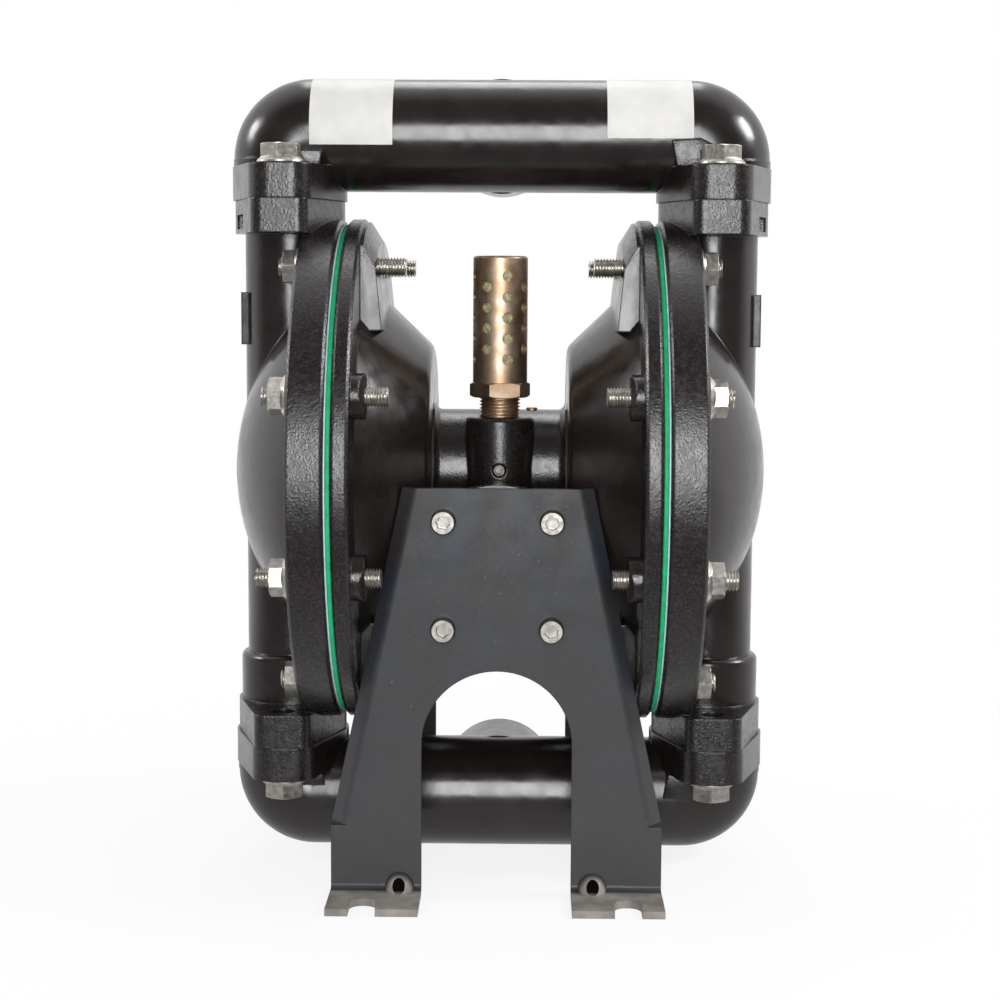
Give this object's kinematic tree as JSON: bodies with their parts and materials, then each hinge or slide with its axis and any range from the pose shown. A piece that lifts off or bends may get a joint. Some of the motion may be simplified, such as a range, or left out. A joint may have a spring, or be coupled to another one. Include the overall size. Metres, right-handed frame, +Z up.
{
  "type": "air operated double diaphragm pump",
  "caption": "Air operated double diaphragm pump with check balls, spool valve, muffler and sheet steel feet.",
  "frame": {"origin": "on the floor, at the middle of the pump's outline", "axes": "+X along the diaphragm shaft to the right-hand fluid cap, +Y to the rear where the ports open, +Z up"},
  "size_m": [0.2278, 0.212, 0.333],
  "materials": {
    "cast_black": "black paint over a rough sand casting",
    "sheet_black": "satin black paint on pressed sheet",
    "green_rubber": "matt moulded rubber",
    "overlay_film": "smooth fluoropolymer",
    "zinc_steel": "bright zinc plating",
    "bronze": "turned, slightly tarnished",
    "sintered": "open porous",
    "ground_steel": "ground bright",
    "light_alloy": "turned",
    "ball_plastic": "smooth",
    "seal_rubber": "matt",
    "gasket_fibre": "matt fibre"
  },
  "bodies": {
    "pump_body": {"barrel_plug": "bronze", "boss_set_screw": "zinc_steel", "center_body": "cast_black", "cover_seals": "seal_rubber", "discharge_manifold": "cast_black", "discharge_manifold_bolts": "zinc_steel", "discharge_seat_seals": "seal_rubber", "front_bracket": "sheet_black", "front_bracket_screws": "zinc_steel", "front_valve_cover": "cast_black", "inlet_manifold": "cast_black", "inlet_manifold_bolts": "zinc_steel", "inlet_seat_seals": "seal_rubber", "left_air_cap": "cast_black", "left_cap_gasket": "gasket_fibre", "left_cap_screws": "zinc_steel", "left_clamp_nuts": "zinc_steel", "left_clamp_studs": "zinc_steel", "left_diaphragm": "green_rubber", "left_discharge_seat": "ground_steel", "left_fluid_cap": "cast_black", "left_inlet_seat": "ground_steel", "left_overlay_diaphragm": "overlay_film", "muffler_base": "bronze", "muffler_element": "sintered", "muffler_shell": "bronze", "pilot_bushes": "bronze", "rear_bracket": "sheet_black", "rear_bracket_screws": "zinc_steel", "rear_valve_cover": "cast_black", "right_air_cap": "cast_black", "right_cap_gasket": "gasket_fibre", "right_cap_screws": "zinc_steel", "right_clamp_nuts": "zinc_steel", "right_clamp_studs": "zinc_steel", "right_diaphragm": "green_rubber", "right_discharge_seat": "ground_steel", "right_fluid_cap": "cast_black", "right_inlet_seat": "ground_steel", "right_overlay_diaphragm": "overlay_film", "rod_bushes": "bronze", "rod_seals": "seal_rubber", "sleeve_seals": "seal_rubber", "valve_sleeve": "light_alloy"},
    "shaft_assembly": {"diaphragm_rod": "ground_steel", "left_inner_plate": "light_alloy", "left_outer_plate": "light_alloy", "left_rod_bolt": "zinc_steel", "right_inner_plate": "light_alloy", "right_outer_plate": "light_alloy", "right_rod_bolt": "zinc_steel"},
    "pilot": {"pilot_rod": "ground_steel"},
    "spool": {"valve_spool": "ground_steel"},
    "ball_left_inlet": {"left_inlet_ball": "ball_plastic"},
    "ball_right_inlet": {"right_inlet_ball": "ball_plastic"},
    "ball_left_discharge": {"left_discharge_ball": "ball_plastic"},
    "ball_right_discharge": {"right_discharge_ball": "ball_plastic"}
  },
  "joints": [
    {"name": "shaft_stroke", "type": "slide", "parent": "pump_body", "child": "shaft_assembly", "axis": [1, 0, 0], "range_m": [-0.009, 0.009], "deforming": ["left_diaphragm", "left_overlay_diaphragm", "right_diaphragm", "right_overlay_diaphragm"]},
    {"name": "pilot_shift", "type": "slide", "parent": "pump_body", "child": "pilot", "axis": [1, 0, 0], "range_m": [-0.005, 0.005]},
    {"name": "spool_shift", "type": "slide", "parent": "pump_body", "child": "spool", "axis": [0, 1, 0], "range_m": [-0.004, 0.004]},
    {"name": "left_inlet_ball_lift", "type": "slide", "parent": "pump_body", "child": "ball_left_inlet", "axis": [0, 0, 1], "range_m": [0, 0.008]},
    {"name": "right_inlet_ball_lift", "type": "slide", "parent": "pump_body", "child": "ball_right_inlet", "axis": [0, 0, 1], "range_m": [0, 0.008]},
    {"name": "left_discharge_ball_lift", "type": "slide", "parent": "pump_body", "child": "ball_left_discharge", "axis": [0, 0, 1], "range_m": [0, 0.008]},
    {"name": "right_discharge_ball_lift", "type": "slide", "parent": "pump_body", "child": "ball_right_discharge", "axis": [0, 0, 1], "range_m": [0, 0.008]}
  ],
  "couplings": [
    {"joint": "pilot_shift", "follows": "shaft_stroke", "ratio": 0.5555}
  ]
}
